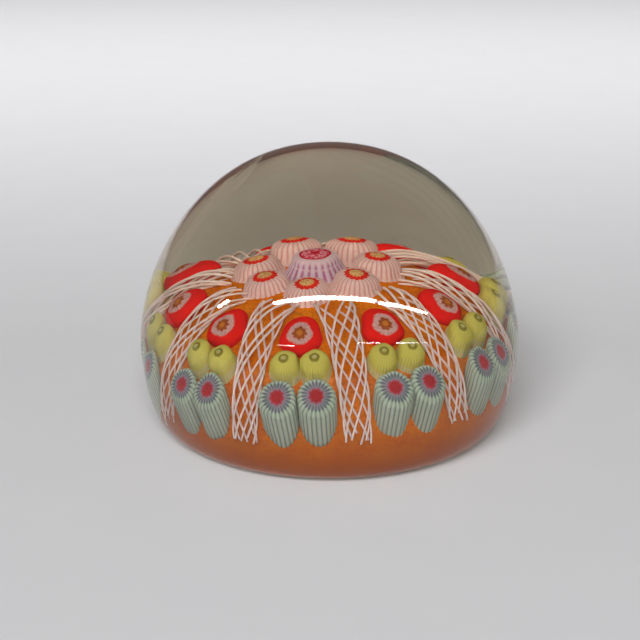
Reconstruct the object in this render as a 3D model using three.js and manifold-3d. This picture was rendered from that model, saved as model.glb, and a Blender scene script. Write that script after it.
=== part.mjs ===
// A millefiori glass paperweight: a high clear dome over a domed orange ground, set with a centre
// cane, a ring of seven canes, and nine panels of five canes parted by white latticino twists.
// Millimetres, +Z up. The origin is on the glass axis, on the surface that the weight stands on.

import * as THREE from 'three';
import { mergeVertices } from 'three/addons/utils/BufferGeometryUtils.js';
import Module from 'manifold-3d';

const wasm = await Module();
wasm.setup();

// ---------------------------------------------------------------- driving dimensions

const GAP = 0.3; // clearance kept between neighbouring pieces of glass

// Outside of the glass. Above and below its widest height the outline is a quarter superellipse.
const GLASS = { radius: 36, height: 53, widest: 16.2, foot: 26 };
const GLASS_TOP_BEND = { across: 2.22, up: 1.74 };
const GLASS_FOOT_BEND = { across: 4.5, up: 1.59 };

// The axis of the set-up leaves the base a little off the centre of the glass and leans from there.
const SETUP_OFFSET = { x: -0.35, y: -1.7 };
const SETUP_LEAN = 5.3; // degrees from upright
const SETUP_LEAN_TOWARDS = 126.6; // azimuth in degrees, counter-clockwise from +X

// Orange ground: a steep-sided cushion, hollowed underneath for the clear base glass.
const GROUND = { radius: 26.8, rise: 23.8, foot: 1.5, across: 2.6, up: 2 };
const GROUND_WALL = 4.4;
const GROUND_LAYER = 3.8;
const BASE_PLUG = { radius: 21.7, height: 1.2 };

// Space inside the clear dome that the set-up fills.
const CAVITY = { radius: 30.8, rise: 20.9, shoulder: 9, footRadius: 27.8, across: 2.3, up: 1.9 };
const BELOW_BASE = -6; // leaning solids start this low, and are cut level afterwards

const PANELS = 9;
const PANEL_PITCH = 360 / PANELS;
const FRONT_PANEL = 261.2; // azimuth in degrees about the set-up's axis
const INNER_CANES = 7;
const FRONT_INNER_CANE = 260.6;
const INNER_TIP = 3.2; // degrees that the ring of seven is tipped within the set-up
const INNER_TIP_TOWARDS = 50; // azimuth about the set-up's axis where that ring stands highest

// Canes. ring and height place the middle of the face, lean tips the rod outward, and faceTilt is
// the slope of its face; foot is the radius at its lower end, beside is half the spacing of a pair.
const CENTRE_CANE = { ring: 0, height: 28.3, lean: 0, faceTilt: 0, radius: 2.7, foot: 3.9, sides: 16 };
const INNER_CANE = { ring: 8.2, height: 27.4, lean: 8, faceTilt: 12, radius: 2.6, foot: 3.1, sides: 14 };
const RED_CANE = { ring: 19.2, height: 22.1, lean: 32, faceTilt: 35, radius: 2.9, foot: 2.9, sides: 12 };
const YELLOW_CANE = {
  ring: 23.6, height: 18.7, lean: 34, faceTilt: 46, radius: 2.25, foot: 2.25, sides: 12, beside: 2.3,
};
const GREEN_CANE = {
  ring: 27.8, height: 13.9, lean: 28, faceTilt: 53, radius: 3, foot: 2.9, sides: 14, beside: 3.25,
};
const CANE_SHOULDER = 0.9; // depth of the rounding at the edge of a cane's face
const CANE_DEPTH = 14; // longest reach of a cane below its face, before it is seated

const TWIST = { width: 4.8, endWidth: 4.2, thickness: 1.5, startRing: 11.3, endHeight: 5.5 };

// Facets
const GLASS_SEGMENTS = 40;
const GROUND_SEGMENTS = 36;
const TWIST_SIDES = 6;
const TWIST_STEPS = 10;

// ---------------------------------------------------------------- materials

function glassMaterial(colour, opacity = 1) {
  return new THREE.MeshStandardMaterial({
    color: colour, roughness: 0.08, metalness: 0, transparent: opacity < 1, opacity,
  });
}

const CLEAR = glassMaterial(0xe9ece6, 0.3);
const ORANGE = glassMaterial(0xc8641a);
const LILAC = glassMaterial(0xc9a6c0);
const PINK = glassMaterial(0xd8b3ab);
const RED = glassMaterial(0xd8211c);
const YELLOW = glassMaterial(0xb4b050);
const GREEN = glassMaterial(0xa3ab93);
const WHITE = glassMaterial(0xe2cdc6);

// ---------------------------------------------------------------- geometry helpers

const radians = THREE.MathUtils.degToRad;

/** A point of a unit quarter superellipse; turn runs from 0 on the axis to a right angle at the side. */
function quarterPoint(turn, across, up) {
  return [Math.sin(turn) ** (2 / across), Math.max(Math.cos(turn), 0) ** (2 / up)];
}

/** The quarter superellipse as points from (0, 1) on the axis to (1, 0) at the side. */
function quarter(steps, across, up) {
  const points = [];
  for (let i = 0; i <= steps; i += 1) {
    points.push(quarterPoint((i / steps) * (Math.PI / 2), across, up));
  }
  return points;
}

/** Outline of a dome from its top on the axis down to its foot. */
function domeOutline({ radius, rise, foot, across, up }, steps) {
  return quarter(steps, across, up).map(([r, z]) => [radius * r, foot + rise * z]);
}

/** Welds a geometry into one closed shell with no collapsed triangles. */
function weld(geometry) {
  geometry.deleteAttribute('normal');
  geometry.deleteAttribute('uv');
  const welded = mergeVertices(geometry, 1e-4);
  const corners = welded.index.array;
  const kept = [];
  for (let i = 0; i < corners.length; i += 3) {
    const [a, b, c] = corners.slice(i, i + 3);
    if (a !== b && b !== c && c !== a) kept.push(a, b, c);
  }
  welded.setIndex(kept);
  return welded;
}

/** Revolves an outline of [radius, height] points, listed upwards, about the Z axis. */
function revolve(outline, segments) {
  const profile = outline.map(([r, z]) => new THREE.Vector2(r < 1e-6 ? 0 : r, z));
  const geometry = weld(new THREE.LatheGeometry(profile, segments));
  return geometry.rotateX(Math.PI / 2);
}

function toManifold(geometry) {
  return new wasm.Manifold(new wasm.Mesh({
    numProp: 3,
    vertProperties: new Float32Array(geometry.attributes.position.array),
    triVerts: new Uint32Array(geometry.index.array),
  }));
}

function fromManifold(manifold) {
  const mesh = manifold.getMesh();
  const geometry = new THREE.BufferGeometry();
  geometry.setAttribute('position', new THREE.BufferAttribute(mesh.vertProperties, 3));
  geometry.setIndex(new THREE.BufferAttribute(mesh.triVerts, 1));
  return geometry;
}

function piece(name, geometry, material) {
  geometry.computeVertexNormals();
  const mesh = new THREE.Mesh(geometry, material);
  mesh.name = name;
  return mesh;
}

/** Calls change(vertex) on each vertex of a geometry and keeps what it returns. */
function reshape(geometry, change) {
  const positions = geometry.attributes.position;
  const vertex = new THREE.Vector3();
  for (let i = 0; i < positions.count; i += 1) {
    vertex.fromBufferAttribute(positions, i);
    const moved = change(vertex);
    positions.setXYZ(i, moved.x, moved.y, moved.z);
  }
  return geometry;
}

// ---------------------------------------------------------------- the leaning set-up

/** Turn that takes the Z axis to the axis of the set-up. */
function setupLean() {
  const towards = radians(SETUP_LEAN_TOWARDS + 90);
  const hinge = new THREE.Vector3(Math.cos(towards), Math.sin(towards), 0);
  return new THREE.Quaternion().setFromAxisAngle(hinge, radians(SETUP_LEAN));
}

/** Leans a solid of the set-up into place and keeps what is above a level. */
function leanAndCut(geometry, level) {
  const leaning = geometry.applyQuaternion(setupLean()).translate(SETUP_OFFSET.x, SETUP_OFFSET.y, 0);
  const room = weld(new THREE.BoxGeometry(200, 200, 100));
  room.translate(0, 0, level + 50);
  return toManifold(leaning).intersect(toManifold(room));
}

/** An upright disc under the set-up, from bottom to top. */
function disc(radius, bottom, top) {
  const geometry = revolve([[0, bottom], [radius, bottom], [radius, top], [0, top]], GROUND_SEGMENTS);
  return toManifold(geometry.translate(SETUP_OFFSET.x, SETUP_OFFSET.y, 0));
}

// ---------------------------------------------------------------- the ground and its surface

/** True when a point of the set-up lies inside the ground grown by the gap. */
function insideGround(x, y, z) {
  const reach = Math.hypot(x, y) / (GROUND.radius + GAP);
  if (reach >= 1) return false;
  const top = GROUND.foot + (GROUND.rise + GAP) * (1 - reach ** GROUND.across) ** (1 / GROUND.up);
  return z < top;
}

/** Outline under the ground, from its top on the axis down past the base, at a depth below it. */
function underOutline(wall, layer) {
  const radius = GROUND.radius - wall;
  return [...domeOutline({ ...GROUND, radius, rise: GROUND.rise - layer }, 8), [radius, BELOW_BASE]];
}

function orangeGround() {
  const top = [...domeOutline(GROUND, 12), [GROUND.radius, BELOW_BASE]];
  const shell = revolve([...underOutline(GROUND_WALL, GROUND_LAYER), ...top.reverse()], GROUND_SEGMENTS);
  return piece('orange_ground', fromManifold(leanAndCut(shell, GROUND.foot)), ORANGE);
}

function baseGlass() {
  const outline = [[0, BELOW_BASE], ...underOutline(GROUND_WALL + GAP, GROUND_LAYER + GAP).reverse()];
  const core = leanAndCut(revolve(outline, GROUND_SEGMENTS), BASE_PLUG.height);
  const plug = disc(BASE_PLUG.radius, 0, BASE_PLUG.height);
  return piece('base_glass', fromManifold(core.add(plug)), CLEAR);
}

// ---------------------------------------------------------------- the clear dome

function glassOutline() {
  const top = quarter(14, GLASS_TOP_BEND.across, GLASS_TOP_BEND.up)
    .map(([r, z]) => [GLASS.radius * r, GLASS.widest + (GLASS.height - GLASS.widest) * z]);
  const belly = quarter(8, GLASS_FOOT_BEND.across, GLASS_FOOT_BEND.up)
    .map(([r, z]) => [GLASS.foot + (GLASS.radius - GLASS.foot) * r, GLASS.widest * (1 - z)]);
  return [[0, 0], ...belly, ...top.reverse().slice(1)];
}

function clearDome() {
  const outside = toManifold(revolve(glassOutline(), GLASS_SEGMENTS));
  const roof = domeOutline({ ...CAVITY, foot: CAVITY.shoulder }, 8);
  const outline = [[0, BELOW_BASE], [CAVITY.footRadius, BELOW_BASE], ...roof.reverse()];
  const cavity = leanAndCut(revolve(outline, GROUND_SEGMENTS), BASE_PLUG.height);
  const opening = disc(BASE_PLUG.radius + GAP, -1, BASE_PLUG.height + 1);
  return piece('clear_dome', fromManifold(outside.subtract(cavity).subtract(opening)), CLEAR);
}

// ---------------------------------------------------------------- canes

/**
 * One cane in the frame of its ring: +X points outward and the set-up's axis is at x = 0. The face
 * slopes by faceTilt, the rod leans outward, and its lower end follows the ground a gap above it.
 */
function caneGeometry({ ring, height, lean, faceTilt, radius, foot, sides }) {
  const tip = radians(lean);
  const slant = Math.tan(radians(faceTilt) - tip);
  const outline = [
    [0, -CANE_DEPTH],
    [foot / 2, -CANE_DEPTH],
    [foot, -CANE_DEPTH],
    [radius, -CANE_SHOULDER],
    [0.8 * radius, -0.25 * CANE_SHOULDER],
    [0, 0],
  ];
  const outward = (x, along) => ring + x * Math.cos(tip) + along * Math.sin(tip);
  const upward = (x, along) => height - x * Math.sin(tip) + along * Math.cos(tip);

  const seat = (x, y) => {
    let low = -CANE_DEPTH;
    let high = 0;
    for (let i = 0; i < 40; i += 1) {
      const middle = (low + high) / 2;
      if (insideGround(outward(x, middle), y, upward(x, middle))) low = middle;
      else high = middle;
    }
    return high;
  };

  return reshape(revolve(outline, sides), ({ x, y, z }) => {
    const isFoot = z < -CANE_DEPTH + 0.001;
    const along = isFoot ? seat(x, y) : z - slant * x;
    return new THREE.Vector3(outward(x, along), y, upward(x, along));
  });
}

/** Puts a piece at its azimuth about the axis of the set-up. */
function turned(mesh, azimuth) {
  mesh.rotation.z = radians(azimuth);
  return mesh;
}

function besideAngle({ ring, beside }) {
  return THREE.MathUtils.radToDeg(Math.asin(beside / ring));
}

function yellowPair(number) {
  const turn = radians(besideAngle(YELLOW_CANE));
  const left = toManifold(caneGeometry(YELLOW_CANE).rotateZ(-turn));
  const right = toManifold(caneGeometry(YELLOW_CANE).rotateZ(turn));
  return piece(`yellow_pair_${number}`, fromManifold(left.add(right)), YELLOW);
}

// ---------------------------------------------------------------- latticino twists

/** Point and outward normal of the ground's outline, at a turn as in quarterPoint. */
function groundPoint(turn) {
  const at = (angle) => {
    const [r, z] = quarterPoint(angle, GROUND.across, GROUND.up);
    return new THREE.Vector2(GROUND.radius * r, GROUND.foot + GROUND.rise * z);
  };
  const step = 0.01;
  const along = at(turn + step).sub(at(turn - step)).normalize();
  return { point: at(turn), normal: new THREE.Vector2(-along.y, along.x) };
}

/** A flattened rod that runs down the ground, drawn in the frame of its ring. */
function twistGeometry() {
  const { width, endWidth, thickness, startRing, endHeight } = TWIST;
  const start = Math.asin((startRing / GROUND.radius) ** (GROUND.across / 2));
  const end = Math.acos(((endHeight - GROUND.foot) / GROUND.rise) ** (GROUND.up / 2));
  const lift = GAP + thickness / 2;
  const rod = weld(new THREE.CylinderGeometry(0.5, 0.5, 1, TWIST_SIDES, TWIST_STEPS));
  return reshape(rod, ({ x, y, z }) => {
    const along = y + 0.5;
    const { point, normal } = groundPoint(THREE.MathUtils.lerp(start, end, along));
    const rise = lift + z * thickness;
    const across = -x * THREE.MathUtils.lerp(width, endWidth, along);
    return new THREE.Vector3(point.x + normal.x * rise, across, point.y + normal.y * rise);
  });
}

// ---------------------------------------------------------------- assembly

function panel(number) {
  const azimuth = FRONT_PANEL + (number - 1) * PANEL_PITCH;
  const greenTurn = besideAngle(GREEN_CANE);
  const group = new THREE.Group();
  group.add(
    turned(piece(`red_cane_${number}`, caneGeometry(RED_CANE), RED), azimuth),
    turned(yellowPair(number), azimuth),
    turned(piece(`green_cane_${number}_left`, caneGeometry(GREEN_CANE), GREEN), azimuth - greenTurn),
    turned(piece(`green_cane_${number}_right`, caneGeometry(GREEN_CANE), GREEN), azimuth + greenTurn),
    turned(piece(`latticino_twist_${number}`, twistGeometry(), WHITE), azimuth + PANEL_PITCH / 2),
  );
  return group;
}

/** A cane of the ring of seven, higher or lower by the tip of its ring. */
function innerCane(number) {
  const azimuth = FRONT_INNER_CANE + ((number - 1) * 360) / INNER_CANES;
  const towards = radians(azimuth - INNER_TIP_TOWARDS);
  const rise = INNER_CANE.ring * Math.tan(radians(INNER_TIP)) * Math.cos(towards);
  const geometry = caneGeometry({ ...INNER_CANE, height: INNER_CANE.height + rise });
  return turned(piece(`inner_cane_${number}`, geometry, PINK), azimuth);
}

function setup() {
  const group = new THREE.Group();
  group.position.set(SETUP_OFFSET.x, SETUP_OFFSET.y, 0);
  group.quaternion.copy(setupLean());
  group.add(piece('centre_cane', caneGeometry(CENTRE_CANE), LILAC));
  for (let number = 1; number <= INNER_CANES; number += 1) group.add(innerCane(number));
  for (let number = 1; number <= PANELS; number += 1) group.add(panel(number));
  return group;
}

const paperweight = new THREE.Group();
paperweight.add(clearDome(), baseGlass(), orangeGround(), setup());

export default paperweight;
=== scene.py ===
"""Looks of a millefiori glass paperweight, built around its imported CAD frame. Metres, +Z up."""
import math
import random

import bpy
import numpy as np
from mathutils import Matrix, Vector


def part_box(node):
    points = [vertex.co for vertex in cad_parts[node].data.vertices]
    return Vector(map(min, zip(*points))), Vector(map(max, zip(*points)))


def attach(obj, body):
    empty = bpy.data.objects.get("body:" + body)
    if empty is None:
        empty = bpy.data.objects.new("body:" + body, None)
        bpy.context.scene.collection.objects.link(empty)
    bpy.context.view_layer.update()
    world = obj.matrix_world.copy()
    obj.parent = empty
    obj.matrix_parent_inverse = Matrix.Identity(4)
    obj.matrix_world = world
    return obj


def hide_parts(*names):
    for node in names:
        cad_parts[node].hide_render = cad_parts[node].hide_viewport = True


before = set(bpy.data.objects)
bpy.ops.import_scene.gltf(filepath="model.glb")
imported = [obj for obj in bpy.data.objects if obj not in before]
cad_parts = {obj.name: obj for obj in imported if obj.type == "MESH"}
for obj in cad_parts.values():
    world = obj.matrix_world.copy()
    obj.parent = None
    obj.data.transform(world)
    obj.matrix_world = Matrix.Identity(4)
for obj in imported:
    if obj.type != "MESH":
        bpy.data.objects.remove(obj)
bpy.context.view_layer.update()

MM = 0.001

# ------------------------------------------------------------ places, taken from the frame

PANELS = sum(node.startswith("red_cane_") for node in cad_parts)
INNER_CANES = sum(node.startswith("inner_cane_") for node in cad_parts)
GLASS_LOW, GLASS_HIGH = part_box("clear_dome")
GLASS_RADIUS = (GLASS_HIGH.x - GLASS_LOW.x) / 2


def node_middle(node):
    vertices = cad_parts[node].data.vertices
    return sum((v.co for v in vertices), Vector()) / len(vertices)


def setup_axis():
    """Where the leaning axis of the set-up meets the base, and its direction, from the red canes."""
    ring = [node_middle(f"red_cane_{number}") for number in range(1, PANELS + 1)]
    middle = sum(ring, Vector()) / PANELS
    turns = [(a - middle).cross(b - middle) for a, b in zip(ring, ring[1:] + ring[:1])]
    up = sum(turns, Vector()).normalized()
    return middle - up * (middle.z / up.z), up


FOOT, UP = setup_axis()
EAST = (Vector((1, 0, 0)) - UP * UP.x).normalized()
NORTH = UP.cross(EAST)

# ------------------------------------------------------------ sizes

# Outlines are quarter superellipses, as the frame's are, and a bend is the pair of powers of one.
GLASS_WIDEST = 16.2 * MM               # height at which the glass is widest
GLASS_FOOT = 26 * MM                   # radius of the flat underside
GLASS_TOP_BEND = (2.22, 1.74)
GLASS_FOOT_BEND = (4.5, 1.59)
GLASS_TOP_STEPS = 48
GLASS_FOOT_STEPS = 24
GLASS_COLUMNS = 160
GLASS_INDEX = 1.5
GLASS_TINT = (0.97, 0.89, 0.72, 1)
GLASS_TINT_DENSITY = 20                # per metre

# The mound of orange ground, in the set-up's own frame.
GROUND_RADIUS = 26.8 * MM
GROUND_RISE = 23.8 * MM
GROUND_FOOT = 1.5 * MM                 # height of its cut edge above the base
GROUND_BEND = (2.6, 2.0)
GROUND_WALL = 4.4 * MM                 # thickness at its foot
GROUND_LAYER = 3.8 * MM                # thickness at its top
GROUND_TOP_STEPS = 40
GROUND_UNDER_STEPS = 14
GROUND_COLUMNS = 144
GROUND_SWELLS = 6                      # waves that make it uneven
GROUND_UNEVEN = 0.6                    # how much of them shows

# Canes: ring and height place the middle of the face, foot is the radius at the foot, lean tips the
# rod outward and tilt is the slope of its face, in degrees. Of the radius, face is the share within
# the rounded shoulder, aside how far the pattern lies outward of the middle, point how far the inner
# side is drawn out, and flute the depth of the ribs, whose number is flutes.
CENTRE = dict(ring=0.0, height=28.6 * MM, lean=0, tilt=0, radius=3.1 * MM, foot=4.6 * MM, face=0.72,
              shoulder=1.3 * MM, flutes=22, flute=0.08, aside=0, point=0)
INNER = dict(ring=8.2 * MM, height=27.4 * MM, lean=8, tilt=12, radius=3.1 * MM, foot=3.95 * MM,
             face=0.5, shoulder=1.8 * MM, flutes=26, flute=0.06, aside=0, point=0)
RED = dict(ring=19.2 * MM, height=22.6 * MM, lean=32, tilt=35, radius=3.3 * MM, foot=2.9 * MM,
           face=0.4, shoulder=1.9 * MM, flutes=0, flute=0, aside=0.1, point=0.25)
YELLOW = dict(ring=23.6 * MM, height=19.3 * MM, lean=30, tilt=46, radius=2.25 * MM, foot=2.6 * MM,
              face=0.3, shoulder=1.7 * MM, flutes=30, flute=0.04, aside=-0.05, point=0)
GREEN = dict(ring=27.8 * MM, height=13.9 * MM, lean=28, tilt=53, radius=3.15 * MM, foot=3.0 * MM,
             face=0.7, shoulder=0.9 * MM, flutes=24, flute=0.06, aside=0, point=0)
INNER_TIP = 3.2                        # degrees that the inner ring is tipped within the set-up
INNER_TIP_TOWARDS = 50                 # azimuth in degrees at which it stands highest
YELLOW_BESIDE = 2.5 * MM               # from the middle of a pair to the middle of a cane
CROWN = 0.2                            # share of the fall from middle to side that is in the face
SHOULDER_SHARE = 0.25                  # what the foot of the shoulder counts as, down the side
FLARE = 0.8                            # power by which the radius goes from foot to shoulder
SEAT_DEPTH = 0.35 * MM                 # how far a cane's foot is inside the ground
LONGEST_CANE = 14 * MM
MEAN_RIB = 0.64                        # mean of a rib's height, so that ribs don't widen a cane
COLUMNS_PER_FLUTE = 6
LEAST_COLUMNS = 96

# Canes differ a little, as work by hand does. Values are drawn from these ranges.
OUT_OF_ROUND_WAVES = (2, 3, 5)         # not a range: the numbers of waves round a cane
OUT_OF_ROUND = (0.01, 0.035)           # share of the radius
OUT_OF_HEIGHT = (-0.15, 0.2)           # millimetres
OUT_OF_PLACE = (-0.15, 0.15)           # millimetres round the ring
ANY_PHASE = (0, 6.28)                  # radians

TWIST_WIDTH = (5.5 * MM, 4.2 * MM)     # at its inner and its lower end
TWIST_DEPTH = 1.4 * MM
TWIST_CLEARANCE = 0.2 * MM             # between the ground and the lowest threads
TWIST_START = 10.8 * MM                # distance from the set-up's axis
TWIST_SINK = 0.9 * MM                  # how far its inner end dips into the ground
TWIST_SINK_SHARE = 5                   # the dip takes up one part in this many of its length
TWIST_END = 4.6 * MM                   # height along the set-up's axis
TWIST_PITCH = 34 * MM
TWIST_STEPS = 90                       # along its length
THREADS = 9
THREAD_RADIUS = 0.18 * MM
THREAD_SIDES = 6
THREAD_OUT_OF_PLACE = (-0.18, 0.18)    # radians round the twist
THREAD_OUT_OF_SIZE = (0.85, 1.15)      # share of the radius
THREAD_SWAY = (0.02, 0.07)             # radians round the twist
THREAD_SWAY_RATE = (3, 8)              # radians along the whole thread
THREAD_SWAYS = 2
THREAD_SWAY_SHARE = 3                  # the sway grows over one part in this many of the thread
THREAD_ENDS_EARLY = 9                  # most steps by which a thread ends before the last one
rng = random.Random(7)


# ------------------------------------------------------------ meshes

def placed(x, y, z, azimuth=0.0):
    """Turns a point about the set-up's axis and takes it from the set-up's frame to the world."""
    c, s = math.cos(azimuth), math.sin(azimuth)
    return FOOT + EAST * (x * c - y * s) + NORTH * (x * s + y * c) + UP * z


def quarter_point(turn, bend):
    """A point of a unit quarter superellipse; turn is 0 on the axis and a right angle at the side."""
    across, up = bend
    return math.sin(turn) ** (2 / across), max(math.cos(turn), 0.0) ** (2 / up)


def quarter(steps, bend):
    return [quarter_point(i / steps * math.pi / 2, bend) for i in range(steps + 1)]


def new_piece(name, vertices, faces, material):
    mesh = bpy.data.meshes.new(name)
    mesh.from_pydata(vertices, [], faces)
    mesh.update()
    mesh.polygons.foreach_set("use_smooth", [True] * len(mesh.polygons))
    mesh.materials.append(material)
    piece = bpy.data.objects.new(name, mesh)
    bpy.context.scene.collection.objects.link(piece)
    return piece


def grid_faces(rows, columns, first=0):
    """Quads between rows of columns vertices each, closed round the columns."""
    faces = []
    for row in range(rows - 1):
        for column in range(columns):
            nearby = (column + 1) % columns
            a = first + row * columns
            b = a + columns
            faces.append((a + column, a + nearby, b + nearby, b + column))
    return faces


def revolve(name, outline, columns, material, shape=None):
    """Revolves (radius, height) points, listed upwards, whose first and last are on the axis. A
    shape function turns radius, height and angle into a point of its own."""
    shape = shape or (lambda r, z, angle: (r * math.cos(angle), r * math.sin(angle), z))
    vertices = [shape(*outline[0], 0.0)]
    for radius, height in outline[1:-1]:
        for column in range(columns):
            vertices.append(shape(radius, height, 2 * math.pi * column / columns))
    vertices.append(shape(*outline[-1], 0.0))
    rows = len(outline) - 2
    faces = grid_faces(rows, columns, first=1)
    last = len(vertices) - 1
    for column in range(columns):
        nearby = (column + 1) % columns
        faces.append((0, 1 + nearby, 1 + column))
        faces.append((last, last - columns + column, last - columns + nearby))
    return new_piece(name, vertices, faces, material)


def ground_top(x, y):
    """Height of the ground's surface at a point of the set-up's frame; None outside it."""
    reach = math.hypot(x, y) / GROUND_RADIUS
    if reach >= 1:
        return None
    across, up = GROUND_BEND
    return GROUND_FOOT + GROUND_RISE * (1 - reach ** across) ** (1 / up)


def azimuth_of(node):
    """Direction of a node from the set-up's axis."""
    away = node_middle(node) - FOOT
    return math.atan2(away.dot(NORTH), away.dot(EAST))


def on_rod(shape, x, along):
    """Distance from the set-up's axis and height of a point: x outward across a cane's leaning rod
    from the middle of its face, and along it."""
    tip = math.radians(shape["lean"])
    out = shape["ring"] + x * math.cos(tip) + along * math.sin(tip)
    up = shape["height"] - x * math.sin(tip) + along * math.cos(tip)
    return out, up


def seat(shape, x, y):
    """How far along the rod its side at (x, y) reaches before it is just inside the ground."""
    low, high = -LONGEST_CANE, 0.0
    for _ in range(30):
        middle = (low + high) / 2
        out, up = on_rod(shape, x, middle)
        top = ground_top(out, y)
        if top is not None and up < top:
            low = middle
        else:
            high = middle
    return low - SEAT_DEPTH


def cane_rows(shape):
    """Rows of a cane from its foot to its face: (radius, share of the side, drop, flute share)."""
    radius, foot, shoulder, face = (shape[key] for key in ("radius", "foot", "shoulder", "face"))
    rows = []
    side_rows = 8
    for i in range(side_rows):
        share = i / side_rows
        rows.append((foot + (radius - foot) * share ** FLARE, 1 - share, shoulder, 1.0))
    shoulder_rows = 7
    for i in range(shoulder_rows + 1):
        turn = i / shoulder_rows * math.pi / 2
        reach = radius * (face + (1 - face) * math.cos(turn))
        drop = shoulder * (CROWN + (1 - CROWN) * (1 - math.sin(turn)))
        rows.append((reach, 0.0, drop, math.cos(turn)))
    for share in (0.8, 0.6, 0.4, 0.2):
        rows.append((radius * face * share, 0.0, shoulder * CROWN * share ** 2, 0.0))
    return rows


def pattern_place(shape, share, angle, spin):
    """Where a point at a share of the radius and an angle lies in the pattern of a cane's face."""
    across = share * math.cos(angle) - shape["aside"]
    beside = share * math.sin(angle)
    reach = math.hypot(across, beside)
    turned = math.atan2(beside, across) - spin
    return reach * math.cos(turned), reach * math.sin(turned)


def cane(name, shape, azimuth, material):
    """One cane: a fluted rod whose domed face slopes, seated in the ground. The attribute cane holds
    the place across the rod as a share of its radius, and how far down its side a point is."""
    slant = math.tan(math.radians(shape["tilt"]) - math.radians(shape["lean"]))
    columns = max(shape["flutes"] * COLUMNS_PER_FLUTE, LEAST_COLUMNS)
    spin = rng.uniform(0, 2 * math.pi)
    waves = [(rng.uniform(*OUT_OF_ROUND), rng.uniform(*ANY_PHASE), k) for k in OUT_OF_ROUND_WAVES]
    shape = dict(shape, height=shape["height"] + rng.uniform(*OUT_OF_HEIGHT) * MM)
    azimuth += rng.uniform(*OUT_OF_PLACE) * MM / max(shape["ring"], MM)
    vertices, places = [], []
    rows = cane_rows(shape)
    feet = {}              # how far along the rod the foot of each column is
    for radius, down, drop, flute in rows:
        for column in range(columns):
            angle = 2 * math.pi * column / columns
            swell = 1 + sum(a * math.sin(k * angle + p) for a, p, k in waves)
            swell += shape["point"] * max(0.0, -math.cos(angle)) ** 4
            rib = abs(math.cos(shape["flutes"] * (angle - spin) / 2))
            r = radius * (swell + shape["flute"] * flute * (rib - MEAN_RIB))
            x, y = r * math.cos(angle), r * math.sin(angle)
            along = -drop - slant * x
            if down > 0:
                if column not in feet:
                    feet[column] = seat(shape, x, y)
                along += (feet[column] - along) * down
            out, up = on_rod(shape, x, along)
            vertices.append(placed(out, y, up, azimuth))
            shoulder = (drop / shape["shoulder"] - CROWN) / (1 - CROWN) * SHOULDER_SHARE
            side = down if down > 0 else max(shoulder, 0.0)
            places.append((*pattern_place(shape, radius / shape["radius"], angle, spin), side))
    vertices.append(placed(shape["ring"], 0.0, shape["height"], azimuth))
    places.append((*pattern_place(shape, 0.0, 0.0, spin), 0.0))
    faces = grid_faces(len(rows), columns)
    last = len(vertices) - 1
    for column in range(columns):
        faces.append((last, last - columns + column, last - columns + (column + 1) % columns))
    faces.append(tuple(reversed(range(columns))))
    piece = new_piece(name, vertices, faces, material)
    attribute = piece.data.attributes.new("cane", "FLOAT_VECTOR", "POINT")
    attribute.data.foreach_set("vector", np.array(places, np.float32).ravel())
    return piece


# ------------------------------------------------------------ materials

class Shader:
    """A Principled material and short names for the nodes that feed it."""

    def __init__(self, name):
        self.material = bpy.data.materials.new(name)
        self.material.use_nodes = True
        self.tree = self.material.node_tree
        self.bsdf = self.tree.nodes["Principled BSDF"]

    def node(self, kind, **values):
        made = self.tree.nodes.new("ShaderNode" + kind)
        for key, value in values.items():
            setattr(made, key, value)
        return made

    def feed(self, socket, value):
        if isinstance(value, bpy.types.NodeSocket):
            self.tree.links.new(value, socket)
        else:
            socket.default_value = value

    def math(self, operation, a, b=0.0):
        made = self.node("Math", operation=operation)
        self.feed(made.inputs[0], a)
        self.feed(made.inputs[1], b)
        return made.outputs[0]

    def step(self, value, low, high):
        """0 below low, 1 above high, and smooth between them."""
        made = self.node("MapRange", interpolation_type="SMOOTHSTEP")
        self.feed(made.inputs["Value"], value)
        made.inputs["From Min"].default_value = low
        made.inputs["From Max"].default_value = high
        return made.outputs["Result"]

    def mix(self, share, first, second):
        made = self.node("Mix", data_type="RGBA")
        self.feed(made.inputs["Factor"], share)
        self.feed(made.inputs["A"], first)
        self.feed(made.inputs["B"], second)
        return made.outputs["Result"]

    def noise(self, scale, detail):
        made = self.node("TexNoise")
        made.inputs["Scale"].default_value = scale
        made.inputs["Detail"].default_value = detail
        self.feed(made.inputs["Vector"], self.node("TexCoord").outputs["Object"])
        return made.outputs["Fac"]

    def polar(self):
        """Radius and angle across a cane, and how far down its side a point is."""
        place = self.node("Attribute", attribute_name="cane").outputs["Vector"]
        parts = self.node("SeparateXYZ")
        self.feed(parts.inputs[0], place)
        x, y, side = parts.outputs
        squares = self.math("ADD", self.math("MULTIPLY", x, x), self.math("MULTIPLY", y, y))
        return self.math("SQRT", squares), self.math("ARCTAN2", y, x), side

    def height(self):
        """Height above the floor."""
        parts = self.node("SeparateXYZ")
        self.feed(parts.inputs[0], self.node("TexCoord").outputs["Object"])
        return parts.outputs[2]

    def wave(self, angle, count):
        """0 to 1 and back, count times round."""
        wave = self.math("COSINE", self.math("MULTIPLY", angle, float(count)))
        return self.math("ADD", self.math("MULTIPLY", wave, 0.5), 0.5)

    def about_zero(self, value, size):
        """A value from 0 to 1 as one within half the size of 0."""
        return self.math("MULTIPLY", self.math("SUBTRACT", value, 0.5), size)

    def finish(self, colour, bump, strength=0.2, roughness=0.5):
        """Glass that is cased in glass, or a dull floor, so that it has no shine of its own."""
        self.feed(self.bsdf.inputs["Base Color"], colour)
        self.bsdf.inputs["Roughness"].default_value = roughness
        self.bsdf.inputs["Specular IOR Level"].default_value = 0.0
        made = self.node("Bump")
        made.inputs["Strength"].default_value = strength
        made.inputs["Distance"].default_value = 0.1 * MM
        self.feed(made.inputs["Height"], bump)
        self.feed(self.bsdf.inputs["Normal"], made.outputs[0])
        return self.material


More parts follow.
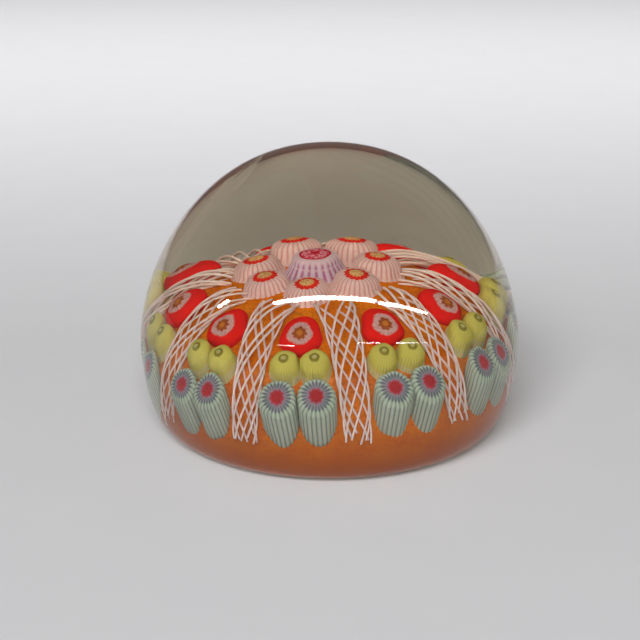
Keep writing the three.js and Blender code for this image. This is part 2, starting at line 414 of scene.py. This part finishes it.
def rgb(red, green, blue):
    """A colour from its screen values, 0 to 255, as the linear values that a shader takes."""
    linear = [((v / 255 + 0.055) / 1.055) ** 2.4 if v > 10 else v / 255 / 12.92
              for v in (red, green, blue)]
    return (*linear, 1.0)


# A step on the radius runs between two shares of a cane's radius, and one on the side between two
# shares of the way down it. Noise has its scale per metre.

def clear_glass():
    shader = Shader("clear_glass")
    bsdf = shader.bsdf
    bsdf.inputs["Base Color"].default_value = (0.985, 0.985, 0.975, 1)
    bsdf.inputs["Transmission Weight"].default_value = 1.0
    bsdf.inputs["Roughness"].default_value = 0.0
    bsdf.inputs["IOR"].default_value = GLASS_INDEX
    tint = shader.node("VolumeAbsorption")
    tint.inputs["Color"].default_value = GLASS_TINT
    tint.inputs["Density"].default_value = GLASS_TINT_DENSITY
    shader.feed(shader.tree.nodes["Material Output"].inputs["Volume"], tint.outputs[0])
    return shader.material


def orange_ground():
    shader = Shader("orange_ground")
    blotch = shader.noise(260, 5)
    grain = shader.noise(2600, 2)
    colour = shader.mix(shader.step(blotch, 0.3, 0.7), rgb(222, 112, 4), rgb(238, 134, 8))
    # Painted shade: the ground darkens to brown from 14 mm above the base down to it. This stands in
    # for the shade on its lower part, which faces away from the light above.
    colour = shader.mix(shader.step(shader.height(), 14 * MM, 0.0), colour, rgb(150, 68, 4))
    grains = shader.math("MULTIPLY", shader.step(grain, 0.48, 0.66), 0.4)
    colour = shader.mix(grains, colour, rgb(142, 64, 14))
    return shader.finish(colour, bump=blotch)


def green_cane():
    shader = Shader("green_cane")
    radius, angle, side = shader.polar()
    ribs = shader.wave(angle, GREEN["flutes"])
    speck = shader.noise(3800, 2)
    drips = shader.math("MULTIPLY", shader.wave(angle, 9), 0.07)
    core_edge = shader.math("ADD", radius, drips)
    core_edge = shader.math("ADD", core_edge, shader.about_zero(speck, 0.12))
    petal_edge = shader.math("ADD", radius, shader.about_zero(ribs, 0.11))
    core = shader.mix(shader.step(speck, 0.42, 0.6), rgb(194, 34, 36), rgb(160, 34, 40))
    core = shader.mix(shader.step(radius, 0.24, 0.44), core, rgb(176, 84, 104))
    mauve = shader.mix(ribs, rgb(158, 132, 148), rgb(140, 134, 148))
    cloud = shader.noise(420, 2)
    smoke = shader.mix(shader.step(cloud, 0.4, 0.6), rgb(130, 142, 142), rgb(156, 146, 156))
    petals = shader.mix(shader.step(ribs, 0.2, 0.8), rgb(102, 116, 122), smoke)
    rim = shader.mix(ribs, rgb(150, 168, 152), rgb(192, 206, 186))
    face = shader.mix(shader.step(core_edge, 0.4, 0.46), core, mauve)
    face = shader.mix(shader.step(radius, 0.46, 0.54), face, petals)
    face = shader.mix(shader.step(petal_edge, 0.7, 0.8), face, rim)
    crest = shader.mix(shader.step(side, 0.3, 1.0), rgb(186, 198, 182), rgb(174, 184, 168))
    flank = shader.mix(shader.step(ribs, 0.0, 0.5), rgb(138, 142, 138), crest)
    colour = shader.mix(shader.step(side, 0.05, 0.25), face, flank)
    return shader.finish(colour, bump=speck)


def yellow_cane():
    shader = Shader("yellow_cane")
    radius, angle, side = shader.polar()
    ribs = shader.wave(angle, YELLOW["flutes"])
    speck = shader.noise(3000, 2)
    body = shader.mix(shader.step(side, 0.12, 0.5), rgb(204, 194, 74), rgb(206, 200, 144))
    body = shader.mix(shader.math("MULTIPLY", ribs, 0.4), body, rgb(230, 222, 160))
    centre = shader.mix(shader.step(speck, 0.45, 0.6), rgb(206, 196, 128), rgb(180, 176, 90))
    from_ring = shader.math("ABSOLUTE", shader.math("SUBTRACT", radius, 0.27))
    ring = shader.step(from_ring, 0.15, 0.03)
    face = shader.mix(shader.step(radius, 0.2, 0.28), centre, body)
    colour = shader.mix(ring, face, rgb(142, 132, 56))
    return shader.finish(colour, bump=speck)


def red_cane():
    shader = Shader("red_cane")
    radius, angle, side = shader.polar()
    speck = shader.noise(3400, 2)
    ring_edge = shader.math("ADD", radius, shader.about_zero(speck, 0.1))
    points = shader.math("MULTIPLY", shader.wave(angle, 8), 0.07)
    star_edge = shader.math("SUBTRACT", ring_edge, points)
    casing = shader.mix(shader.step(side, 0.25, 0.8), rgb(236, 30, 22), rgb(206, 16, 22))
    ring = shader.mix(shader.step(speck, 0.4, 0.62), rgb(222, 176, 172), rgb(204, 150, 146))
    star = shader.mix(shader.step(speck, 0.42, 0.6), rgb(158, 70, 34), rgb(172, 92, 44))
    face = shader.mix(shader.step(radius, 0.1, 0.2), rgb(204, 122, 46), star)
    face = shader.mix(shader.step(star_edge, 0.24, 0.34), face, ring)
    colour = shader.mix(shader.step(ring_edge, 0.54, 0.64), face, casing)
    return shader.finish(colour, bump=speck, strength=0.1)


def inner_cane():
    shader = Shader("inner_cane")
    radius, angle, side = shader.polar()
    ribs = shader.wave(angle, INNER["flutes"])
    speck = shader.noise(3200, 2)
    cogs = shader.math("MULTIPLY", shader.wave(angle, 13), 0.06)
    cog_edge = shader.math("SUBTRACT", radius, cogs)
    centre = shader.mix(shader.step(speck, 0.42, 0.6), rgb(226, 186, 122), rgb(208, 140, 92))
    casing = shader.mix(speck, rgb(236, 208, 206), rgb(222, 184, 182))
    stripes = shader.mix(shader.step(ribs, 0.0, 0.5), rgb(212, 154, 152), casing)
    skirt = shader.mix(shader.step(side, 0.25, 0.8), stripes, casing)
    face = shader.mix(shader.step(cog_edge, 0.27, 0.32), centre, rgb(226, 40, 28))
    colour = shader.mix(shader.step(cog_edge, 0.5, 0.55), face, skirt)
    return shader.finish(colour, bump=speck)


def centre_cane():
    shader = Shader("centre_cane")
    radius, angle, side = shader.polar()
    ribs = shader.wave(angle, CENTRE["flutes"])
    speck = shader.noise(2400, 3)
    petals = shader.mix(shader.step(speck, 0.46, 0.54), rgb(206, 44, 74), rgb(230, 150, 168))
    skirt = shader.mix(shader.step(ribs, 0.05, 0.6), rgb(178, 112, 152), rgb(208, 184, 204))
    face = shader.mix(shader.step(radius, 0.16, 0.22), rgb(196, 28, 52), petals)
    face = shader.mix(shader.step(radius, 0.58, 0.62), face, rgb(200, 28, 50))
    face = shader.mix(shader.step(radius, 0.68, 0.73), face, rgb(216, 190, 202))
    colour = shader.mix(shader.step(side, 0.05, 0.25), face, skirt)
    return shader.finish(colour, bump=speck)


def latticino():
    shader = Shader("latticino")
    cloud = shader.noise(900, 2)
    colour = shader.mix(cloud, rgb(250, 236, 233), rgb(238, 214, 210))
    return shader.finish(colour, bump=cloud, strength=0.1)


def pale_floor():
    shader = Shader("pale_floor")
    mottle = shader.noise(60, 3)
    colour = shader.mix(mottle, rgb(222, 222, 226), rgb(226, 226, 229))
    return shader.finish(colour, bump=shader.noise(900, 3), strength=0.05, roughness=0.9)


# ------------------------------------------------------------ pieces

def stands_for(piece, slot, *nodes):
    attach(piece, "root")
    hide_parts(*nodes)


def make_glass():
    """One smooth body of clear glass: the dome and the base are fused on the real weight."""
    belly = [(GLASS_FOOT + (GLASS_RADIUS - GLASS_FOOT) * r, GLASS_WIDEST * (1 - z))
             for r, z in quarter(GLASS_FOOT_STEPS, GLASS_FOOT_BEND)]
    top = [(GLASS_RADIUS * r, GLASS_WIDEST + (GLASS_HIGH.z - GLASS_WIDEST) * z)
           for r, z in reversed(quarter(GLASS_TOP_STEPS, GLASS_TOP_BEND))]
    flat = [(GLASS_FOOT * share, 0.0) for share in (0, 0.5, 0.95, 0.99)]
    body = revolve("glass_body", flat + belly + top[1:], GLASS_COLUMNS, clear_glass())
    stands_for(body, "clear_glass", "clear_dome", "base_glass")


def ground_swell():
    """One wave of the uneven ground: its size, waves round, phase, and radians per metre outward."""
    size = rng.uniform(0.05, 0.12) * MM
    round_about = rng.randint(3, 9)
    phase = rng.uniform(*ANY_PHASE)
    return size, round_about, phase, rng.uniform(60, 260)


def make_ground():
    """A leaning shell of orange glass, filled by the clear core that is part of the glass body."""
    swells = [ground_swell() for _ in range(GROUND_SWELLS)]

    def shape(radius, height, angle):
        """A point of the leaning mound, uneven except at the axis, whose foot is cut level."""
        move = sum(a * math.sin(k * angle + p + f * radius) for a, k, p, f in swells)
        move = GROUND_UNEVEN * move * min(radius / GROUND_RADIUS * 4, 1.0)
        r = radius + move
        point = placed(r * math.cos(angle), r * math.sin(angle), height + move)
        if point.z < GROUND_FOOT:
            point += UP * ((GROUND_FOOT - point.z) / UP.z)
        return point

    def outline(radius, rise, steps):
        """From the axis down the side, and on to two rows below the foot, which shape cuts level."""
        points = [(radius * r, GROUND_FOOT + rise * z) for r, z in quarter(steps, GROUND_BEND)]
        return points + [(radius, z * MM) for z in (0, -2)]

    under = outline(GROUND_RADIUS - GROUND_WALL, GROUND_RISE - GROUND_LAYER, GROUND_UNDER_STEPS)
    top = outline(GROUND_RADIUS, GROUND_RISE, GROUND_TOP_STEPS)
    ground = revolve("orange_cushion", under + top[::-1], GROUND_COLUMNS, orange_ground(), shape)
    stands_for(ground, "orange_glass", "orange_ground")


def make_middle_canes():
    """The centre cane and the tipped ring round it."""
    centre = cane("centre_millefiori", CENTRE, azimuth_of("inner_cane_1"), centre_cane())
    stands_for(centre, "lilac_glass", "centre_cane")
    material = inner_cane()
    slope = math.tan(math.radians(INNER_TIP))
    for number in range(1, INNER_CANES + 1):
        node = f"inner_cane_{number}"
        azimuth = azimuth_of(node)
        rise = INNER["ring"] * slope * math.cos(azimuth - math.radians(INNER_TIP_TOWARDS))
        shape = dict(INNER, height=INNER["height"] + rise)
        piece = cane(f"inner_millefiori_{number}", shape, azimuth, material)
        stands_for(piece, "pink_glass", node)


def make_panel_canes():
    """A red cane, a pair of yellow ones and a pair of green ones in each panel."""
    reds, yellows, greens = red_cane(), yellow_cane(), green_cane()
    beside = math.asin(YELLOW_BESIDE / YELLOW["ring"])
    for number in range(1, PANELS + 1):
        node = f"red_cane_{number}"
        piece = cane(f"red_millefiori_{number}", RED, azimuth_of(node), reds)
        stands_for(piece, "red_glass", node)
        node = f"yellow_pair_{number}"
        for side, turn in (("left", -beside), ("right", beside)):
            piece = cane(f"yellow_millefiori_{number}_{side}", YELLOW, azimuth_of(node) + turn, yellows)
            stands_for(piece, "yellow_glass", node)
        for side in ("left", "right"):
            node = f"green_cane_{number}_{side}"
            piece = cane(f"green_millefiori_{number}_{side}", GREEN, azimuth_of(node), greens)
            stands_for(piece, "green_glass", node)


def ground_point(turn):
    """Point and outward normal of the ground's outline, at a turn as in quarter_point."""
    def at(angle):
        r, z = quarter_point(angle, GROUND_BEND)
        return Vector((GROUND_RADIUS * r, GROUND_FOOT + GROUND_RISE * z))
    nudge = 0.01
    along = (at(turn + nudge) - at(turn - nudge)).normalized()
    return at(turn), Vector((-along.y, along.x))


def twist_path():
    """Points and normals down the ground at even distances, and how far each is from the start."""
    across, up = GROUND_BEND
    start = math.asin((TWIST_START / GROUND_RADIUS) ** (across / 2))
    end = math.acos(((TWIST_END - GROUND_FOOT) / GROUND_RISE) ** (up / 2))
    fine_steps = 400
    fine = [ground_point(start + (end - start) * i / fine_steps) for i in range(fine_steps + 1)]
    reach = np.cumsum([0.0] + [(b[0] - a[0]).length for a, b in zip(fine, fine[1:])])
    path = []
    for i in range(TWIST_STEPS + 1):
        distance = reach[-1] * i / TWIST_STEPS
        at_distance = int(np.searchsorted(reach, distance - 1e-9))
        path.append((*fine[at_distance], distance))
    return path


def thread_sway():
    """One wave of a thread: its size, its phase, and its rate along the thread."""
    return rng.uniform(*THREAD_SWAY), rng.uniform(*ANY_PHASE), rng.uniform(*THREAD_SWAY_RATE)


def thread_line(path, turn_at_start, azimuth, sways, last):
    """Middle line of one thread, from the inner end of the path to the step whose number is last."""
    inner_width, lower_width = TWIST_WIDTH
    line = []
    for point, normal, distance in path[:last + 1]:
        along = distance / path[-1][2]
        sway = sum(a * math.sin(p + f * along) for a, p, f in sways)
        turn = turn_at_start + 2 * math.pi * distance / TWIST_PITCH
        turn += sway * min(1.0, along * THREAD_SWAY_SHARE)
        rise = TWIST_CLEARANCE + TWIST_DEPTH / 2 * (1 + math.sin(turn))
        rise -= TWIST_SINK * max(0.0, 1 - along * TWIST_SINK_SHARE) ** 2
        width = inner_width + (lower_width - inner_width) * along
        out, up = point + normal * rise
        line.append(placed(out, width / 2 * math.cos(turn), up, azimuth))
    return line


def add_tube(vertices, faces, line, radius):
    """Adds a closed tube along a line to the lists of vertices and faces."""
    first = len(vertices)
    last = len(line) - 1
    for i, place in enumerate(line):
        ahead = (line[min(i + 1, last)] - line[max(i - 1, 0)]).normalized()
        flat = ahead.cross(UP).normalized()
        tall = flat.cross(ahead)
        for k in range(THREAD_SIDES):
            angle = 2 * math.pi * k / THREAD_SIDES
            vertices.append(place + (flat * math.cos(angle) + tall * math.sin(angle)) * radius)
    faces += grid_faces(last + 1, THREAD_SIDES, first)
    faces.append(tuple(reversed(range(first, first + THREAD_SIDES))))
    faces.append(tuple(range(first + last * THREAD_SIDES, first + (last + 1) * THREAD_SIDES)))


def make_twist(number, material):
    """White threads that run down the ground, wound as if round a flattened rod of clear glass."""
    node = f"latticino_twist_{number}"
    azimuth = azimuth_of(node)
    path = twist_path()
    start = rng.uniform(0, 2 * math.pi)
    vertices, faces = [], []
    for thread in range(THREADS):
        turn = start + 2 * math.pi * thread / THREADS + rng.uniform(*THREAD_OUT_OF_PLACE)
        sways = [thread_sway() for _ in range(THREAD_SWAYS)]
        radius = THREAD_RADIUS * rng.uniform(*THREAD_OUT_OF_SIZE)
        last = TWIST_STEPS - rng.randint(0, THREAD_ENDS_EARLY)
        add_tube(vertices, faces, thread_line(path, turn, azimuth, sways, last), radius)
    piece = new_piece(f"latticino_threads_{number}", vertices, faces, material)
    stands_for(piece, "white_glass", node)


def make_twists():
    material = latticino()
    for number in range(1, PANELS + 1):
        make_twist(number, material)


# ------------------------------------------------------------ studio, in metres and watts

FLOOR_RADIUS = 1.6
FLOOR_TOP = -0.0002                    # just clear of the flat underside
FLOOR_UNDERSIDE = -0.011
WORLD_COLOUR = (1.0, 0.97, 0.91, 1)
WORLD_STRENGTH = 0.2
KEY = dict(place=(-0.6, -3.1, 2.5), size=(2.8, 1.5), power=150)
WASH = dict(place=(0, 0.25, 0.6), size=(1.6, 0.12), power=8.5)
WASH_BACKWARD = (0, -0.94, 0.33)       # away from where the wash points
TUBE_HEIGHT = 0.45
TUBE_THICKNESS = 0.045
TUBE_RADIANCE = 32                     # watts per square metre and steradian
TUBES = (("near_tube_left", (-0.457, -0.56), (0.347, -0.56)),
         ("near_tube_right", (0.377, -0.57), (1.1, -0.53)),
         ("side_tube", (-1.3, -0.32), (-0.93, -0.34)),
         ("far_tube_left", (-0.95, -1.6), (-0.62, -1.6)),
         ("far_tube_middle", (0.43, -1.45), (0.83, -1.45)),
         ("far_tube_right", (1.2, -1.47), (2.6, -1.5)))
CAMERA_AIM = Vector((-1.8 * MM, 0, 19.3 * MM))
CAMERA_DISTANCE = 0.3
CAMERA_RISE = math.radians(19)
CAMERA_LENS = 88.4                     # millimetres
CAMERA_SENSOR = 36                     # width in millimetres


def area_light(name, place, size, power):
    """A rectangle of light that faces the weight and isn't seen itself."""
    light = bpy.data.lights.new(name, "AREA")
    light.shape = "RECTANGLE"
    light.size, light.size_y = size
    light.energy = power
    lamp = bpy.data.objects.new(name, light)
    bpy.context.scene.collection.objects.link(lamp)
    lamp.location = place
    away = Vector(place) - Vector((0, 0, GLASS_HIGH.z / 2))
    lamp.rotation_euler = away.to_track_quat("Z", "Y").to_euler()
    lamp.visible_camera = False
    return lamp


def tube_light(name, start, end):
    """A long lamp overhead that shows only as a bright line in the glass."""
    across, along = Vector(end) - Vector(start)
    power = TUBE_RADIANCE * math.pi * across * TUBE_THICKNESS
    middle = (Vector(start) + Vector(end)) / 2
    lamp = area_light(name, (*middle, TUBE_HEIGHT), (across, TUBE_THICKNESS), power)
    lamp.rotation_euler = (0, 0, math.atan2(along, across))
    lamp.visible_diffuse = False
    lamp.visible_transmission = False


def make_floor():
    top, under = (FLOOR_RADIUS, FLOOR_TOP), (FLOOR_RADIUS, FLOOR_UNDERSIDE)
    outline = [(0, FLOOR_UNDERSIDE), under, top, (0, FLOOR_TOP)]
    floor = revolve("floor", outline, 96, pale_floor())


def make_world():
    bpy.context.scene.view_settings.view_transform = "Standard"
    world = bpy.data.worlds.new("studio")
    bpy.context.scene.world = world
    world.use_nodes = True
    background = world.node_tree.nodes["Background"]
    background.inputs["Color"].default_value = WORLD_COLOUR
    background.inputs["Strength"].default_value = WORLD_STRENGTH


def make_lights():
    """A soft key from the front, a wash for the far floor, and tubes that the glass reflects."""
    key = area_light("key", **KEY)
    key.visible_glossy = False
    wash = area_light("background_wash", **WASH)
    wash.rotation_euler = Vector(WASH_BACKWARD).to_track_quat("Z", "Y").to_euler()
    for name, start, end in TUBES:
        tube_light(name, start, end)


def make_camera():
    """In front of the weight, a little above it, and looking down at it."""
    data = bpy.data.cameras.new("camera")
    data.lens = CAMERA_LENS
    data.sensor_width = CAMERA_SENSOR
    camera = bpy.data.objects.new("camera", data)
    bpy.context.scene.collection.objects.link(camera)
    away = Vector((0, -math.cos(CAMERA_RISE), math.sin(CAMERA_RISE)))
    camera.location = CAMERA_AIM + away * CAMERA_DISTANCE
    camera.rotation_euler = away.to_track_quat("Z", "Y").to_euler()
    bpy.context.scene.camera = camera


make_camera()
make_ground()
make_middle_canes()
make_panel_canes()
make_twists()
make_glass()
make_floor()
make_world()
make_lights()
